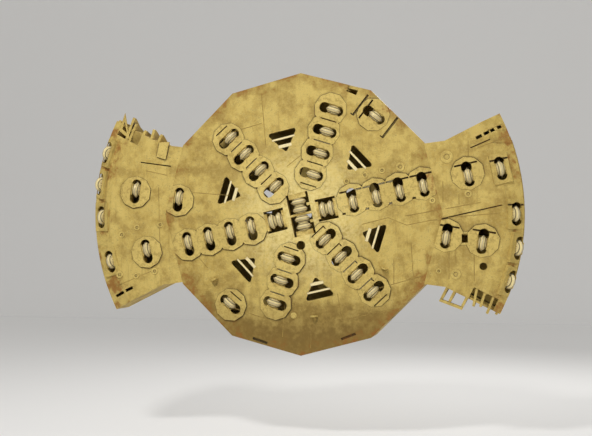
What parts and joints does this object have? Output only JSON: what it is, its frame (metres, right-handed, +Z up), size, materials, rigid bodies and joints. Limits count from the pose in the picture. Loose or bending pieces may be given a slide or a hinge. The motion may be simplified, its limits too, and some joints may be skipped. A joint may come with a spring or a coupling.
{
  "type": "tunnel boring machine cutterhead",
  "caption": "Flat hard-rock cutterhead: twelve-sided centre body with outer wings on two sides, disc cutters in slots, muck windows and buckets, on its main bearing.",
  "frame": {"origin": "centre of the main bearing's fixed ring, on its rear face", "axes": "+Y along the head's axis towards the machine, so the cutting face looks along -Y; +Z up"},
  "size_m": [14.12, 2.4648, 9.1],
  "materials": {
    "painted_steel": "dusty matt cream-yellow paint with rust at the edges",
    "cutter_steel": "hardened tool steel with dust and overspray",
    "bearing_steel": "machined steel with grease film"
  },
  "bodies": {
    "bearing": {"bearing_ring": "bearing_steel", "bearing_cap": "bearing_steel"},
    "head": {"turning_ring": "bearing_steel", "drum": "painted_steel", "centre_back": "painted_steel", "centre_walls": "painted_steel", "centre_face": "painted_steel", "centre_housings": "painted_steel", "centre_axles": "cutter_steel", "wing_axles": "cutter_steel", "wing_right_face": "painted_steel", "wing_left_face": "painted_steel", "wing_right_box": "painted_steel", "wing_left_box": "painted_steel", "wing_right_fingers": "painted_steel", "wing_left_fingers": "painted_steel", "gauge_boxes": "painted_steel"},
    "disc_a1": {"cutter_a1": "cutter_steel"},
    "disc_a2": {"cutter_a2": "cutter_steel"},
    "disc_a3": {"cutter_a3": "cutter_steel"},
    "disc_a4": {"cutter_a4": "cutter_steel"},
    "disc_b1": {"cutter_b1": "cutter_steel"},
    "disc_b2": {"cutter_b2": "cutter_steel"},
    "disc_b3": {"cutter_b3": "cutter_steel"},
    "disc_b4": {"cutter_b4": "cutter_steel"},
    "disc_c1": {"cutter_c1": "cutter_steel"},
    "disc_c2": {"cutter_c2": "cutter_steel"},
    "disc_c3": {"cutter_c3": "cutter_steel"},
    "disc_c4": {"cutter_c4": "cutter_steel"},
    "disc_d1": {"cutter_d1": "cutter_steel"},
    "disc_d2": {"cutter_d2": "cutter_steel"},
    "disc_d3": {"cutter_d3": "cutter_steel"},
    "disc_d4": {"cutter_d4": "cutter_steel"},
    "disc_e1": {"cutter_e1": "cutter_steel"},
    "disc_e2": {"cutter_e2": "cutter_steel"},
    "disc_e3": {"cutter_e3": "cutter_steel"},
    "disc_f1": {"cutter_f1": "cutter_steel"},
    "disc_f2": {"cutter_f2": "cutter_steel"},
    "disc_f3": {"cutter_f3": "cutter_steel"},
    "disc_f4": {"cutter_f4": "cutter_steel"},
    "disc_s1": {"cutter_s1": "cutter_steel"},
    "disc_s2": {"cutter_s2": "cutter_steel"},
    "disc_s3": {"cutter_s3": "cutter_steel"},
    "disc_r1": {"cutter_r1": "cutter_steel"},
    "disc_r2": {"cutter_r2": "cutter_steel"},
    "disc_r3": {"cutter_r3": "cutter_steel"},
    "disc_l1": {"cutter_l1": "cutter_steel"},
    "disc_l2": {"cutter_l2": "cutter_steel"},
    "disc_r4": {"cutter_r4": "cutter_steel"},
    "disc_r5": {"cutter_r5": "cutter_steel"},
    "disc_r6": {"cutter_r6": "cutter_steel"},
    "disc_r7": {"cutter_r7": "cutter_steel"},
    "disc_l3": {"cutter_l3": "cutter_steel"},
    "disc_l4": {"cutter_l4": "cutter_steel"},
    "disc_l5": {"cutter_l5": "cutter_steel"},
    "disc_l6": {"cutter_l6": "cutter_steel"},
    "disc_t1": {"cutter_t1": "cutter_steel"},
    "disc_t2": {"cutter_t2": "cutter_steel"},
    "disc_t3": {"cutter_t3": "cutter_steel"},
    "disc_t4": {"cutter_t4": "cutter_steel"}
  },
  "joints": [
    {"name": "head_spin", "type": "hinge", "parent": "bearing", "child": "head", "pos_m": [0, 0, 0], "axis": [0, 1, 0], "continuous": true},
    {"name": "spin_a1", "type": "hinge", "parent": "head", "child": "disc_a1", "pos_m": [1.69876, -2.206, 0.37661], "axis": [0.9763, 0, 0.2164], "continuous": true},
    {"name": "spin_a2", "type": "hinge", "parent": "head", "child": "disc_a2", "pos_m": [2.44562, -2.206, 0.54218], "axis": [0.9763, 0, 0.2164], "continuous": true},
    {"name": "spin_a3", "type": "hinge", "parent": "head", "child": "disc_a3", "pos_m": [3.19249, -2.206, 0.70776], "axis": [0.9763, 0, 0.2164], "continuous": true},
    {"name": "spin_a4", "type": "hinge", "parent": "head", "child": "disc_a4", "pos_m": [3.93935, -2.206, 0.87333], "axis": [0.9763, 0, 0.2164], "continuous": true},
    {"name": "spin_b1", "type": "hinge", "parent": "head", "child": "disc_b1", "pos_m": [0.39994, -2.206, 1.26844], "axis": [0.3007, 0, 0.9537], "continuous": true},
    {"name": "spin_b2", "type": "hinge", "parent": "head", "child": "disc_b2", "pos_m": [0.61795, -2.206, 1.95989], "axis": [0.3007, 0, 0.9537], "continuous": true},
    {"name": "spin_b3", "type": "hinge", "parent": "head", "child": "disc_b3", "pos_m": [0.83596, -2.206, 2.65133], "axis": [0.3007, 0, 0.9537], "continuous": true},
    {"name": "spin_b4", "type": "hinge", "parent": "head", "child": "disc_b4", "pos_m": [1.05397, -2.206, 3.34278], "axis": [0.3007, 0, 0.9537], "continuous": true},
    {"name": "spin_c1", "type": "hinge", "parent": "head", "child": "disc_c1", "pos_m": [-0.84568, -2.206, 0.90688], "axis": [-0.682, 0, 0.7314], "continuous": true},
    {"name": "spin_c2", "type": "hinge", "parent": "head", "child": "disc_c2", "pos_m": [-1.34354, -2.206, 1.44077], "axis": [-0.682, 0, 0.7314], "continuous": true},
    {"name": "spin_c3", "type": "hinge", "parent": "head", "child": "disc_c3", "pos_m": [-1.8414, -2.206, 1.97466], "axis": [-0.682, 0, 0.7314], "continuous": true},
    {"name": "spin_c4", "type": "hinge", "parent": "head", "child": "disc_c4", "pos_m": [-2.33925, -2.206, 2.50854], "axis": [-0.682, 0, 0.7314], "continuous": true},
    {"name": "spin_d1", "type": "hinge", "parent": "head", "child": "disc_d1", "pos_m": [-1.64331, -2.206, -0.39452], "axis": [-0.9724, 0, -0.2334], "continuous": true},
    {"name": "spin_d2", "type": "hinge", "parent": "head", "child": "disc_d2", "pos_m": [-2.35313, -2.206, -0.56494], "axis": [-0.9724, 0, -0.2334], "continuous": true},
    {"name": "spin_d3", "type": "hinge", "parent": "head", "child": "disc_d3", "pos_m": [-3.06297, -2.206, -0.73535], "axis": [-0.9724, 0, -0.2334], "continuous": true},
    {"name": "spin_d4", "type": "hinge", "parent": "head", "child": "disc_d4", "pos_m": [-3.77279, -2.206, -0.90577], "axis": [-0.9724, 0, -0.2334], "continuous": true},
    {"name": "spin_e1", "type": "hinge", "parent": "head", "child": "disc_e1", "pos_m": [-0.44505, -2.206, -1.4115], "axis": [-0.3007, 0, -0.9537], "continuous": true},
    {"name": "spin_e2", "type": "hinge", "parent": "head", "child": "disc_e2", "pos_m": [-0.67358, -2.206, -2.13633], "axis": [-0.3007, 0, -0.9537], "continuous": true},
    {"name": "spin_e3", "type": "hinge", "parent": "head", "child": "disc_e3", "pos_m": [-0.90212, -2.206, -2.86115], "axis": [-0.3007, 0, -0.9537], "continuous": true},
    {"name": "spin_f1", "type": "hinge", "parent": "head", "child": "disc_f1", "pos_m": [0.77066, -2.206, -0.82643], "axis": [0.682, 0, -0.7314], "continuous": true},
    {"name": "spin_f2", "type": "hinge", "parent": "head", "child": "disc_f2", "pos_m": [1.28693, -2.206, -1.38006], "axis": [0.682, 0, -0.7314], "continuous": true},
    {"name": "spin_f3", "type": "hinge", "parent": "head", "child": "disc_f3", "pos_m": [1.8032, -2.206, -1.9337], "axis": [0.682, 0, -0.7314], "continuous": true},
    {"name": "spin_f4", "type": "hinge", "parent": "head", "child": "disc_f4", "pos_m": [2.31948, -2.206, -2.48733], "axis": [0.682, 0, -0.7314], "continuous": true},
    {"name": "spin_s1", "type": "hinge", "parent": "head", "child": "disc_s1", "pos_m": [2.41485, -2.206, 3.11321], "axis": [0.6129, 0, 0.7902], "continuous": true},
    {"name": "spin_s2", "type": "hinge", "parent": "head", "child": "disc_s2", "pos_m": [-2.37893, -2.206, -2.88588], "axis": [-0.6361, 0, -0.7716], "continuous": true},
    {"name": "spin_s3", "type": "hinge", "parent": "head", "child": "disc_s3", "pos_m": [-4.08285, -2.206, 0.55202], "axis": [-0.991, 0, 0.134], "continuous": true},
    {"name": "spin_r1", "type": "hinge", "parent": "head", "child": "disc_r1", "pos_m": [5.34034, -2.206, 1.18392], "axis": [0.9763, 0, 0.2164], "continuous": true},
    {"name": "spin_r2", "type": "hinge", "parent": "head", "child": "disc_r2", "pos_m": [4.64809, -2.206, -0.76115], "axis": [0.9869, 0, -0.1616], "continuous": true},
    {"name": "spin_r3", "type": "hinge", "parent": "head", "child": "disc_r3", "pos_m": [5.77637, -2.206, -0.92522], "axis": [0.9874, 0, -0.1582], "continuous": true},
    {"name": "spin_l1", "type": "hinge", "parent": "head", "child": "disc_l1", "pos_m": [-5.1939, -2.206, -1.15146], "axis": [-0.9763, 0, -0.2164], "continuous": true},
    {"name": "spin_l2", "type": "hinge", "parent": "head", "child": "disc_l2", "pos_m": [-5.55827, -2.206, 0.83069], "axis": [-0.989, 0, 0.1478], "continuous": true},
    {"name": "spin_r4", "type": "hinge", "parent": "head", "child": "disc_r4", "pos_m": [6.3264, -2.2145, 1.40253], "axis": [0.955, 0.2079, 0.2117], "continuous": true},
    {"name": "spin_r5", "type": "hinge", "parent": "head", "child": "disc_r5", "pos_m": [6.78999, -2.09567, -0.01185], "axis": [0.8988, 0.4384, -0.0016], "continuous": true},
    {"name": "spin_r6", "type": "hinge", "parent": "head", "child": "disc_r6", "pos_m": [6.84656, -2.042, -1.07214], "axis": [0.7568, 0.6428, -0.1185], "continuous": true},
    {"name": "spin_r7", "type": "hinge", "parent": "head", "child": "disc_r7", "pos_m": [6.5935, -2.04392, -2.11694], "axis": [0.7294, 0.6428, -0.2342], "continuous": true},
    {"name": "spin_l3", "type": "hinge", "parent": "head", "child": "disc_l3", "pos_m": [-6.45654, -2.15317, -1.55008], "axis": [-0.9347, 0.2756, -0.2244], "continuous": true},
    {"name": "spin_l4", "type": "hinge", "parent": "head", "child": "disc_l4", "pos_m": [-6.77963, -2.0995, -0.071], "axis": [-0.9135, 0.4067, -0.0096], "continuous": true},
    {"name": "spin_l5", "type": "hinge", "parent": "head", "child": "disc_l5", "pos_m": [-6.85388, -2.042, 1.02432], "axis": [-0.8001, 0.5878, 0.1196], "continuous": true},
    {"name": "spin_l6", "type": "hinge", "parent": "head", "child": "disc_l6", "pos_m": [-6.5938, -2.04967, 2.06637], "axis": [-0.772, 0.5878, 0.2419], "continuous": true},
    {"name": "spin_t1", "type": "hinge", "parent": "head", "child": "disc_t1", "pos_m": [-0.0606, -2.206, 0.27336], "axis": [-0.2164, 0, 0.9763], "continuous": true},
    {"name": "spin_t2", "type": "hinge", "parent": "head", "child": "disc_t2", "pos_m": [0.0606, -2.206, -0.27336], "axis": [0.2164, 0, -0.9763], "continuous": true},
    {"name": "spin_t3", "type": "hinge", "parent": "head", "child": "disc_t3", "pos_m": [-0.83445, -2.206, -0.20805], "axis": [-0.9703, 0, -0.2419], "continuous": true},
    {"name": "spin_t4", "type": "hinge", "parent": "head", "child": "disc_t4", "pos_m": [0.84274, -2.206, 0.17146], "axis": [0.9799, 0, 0.1994], "continuous": true}
  ]
}
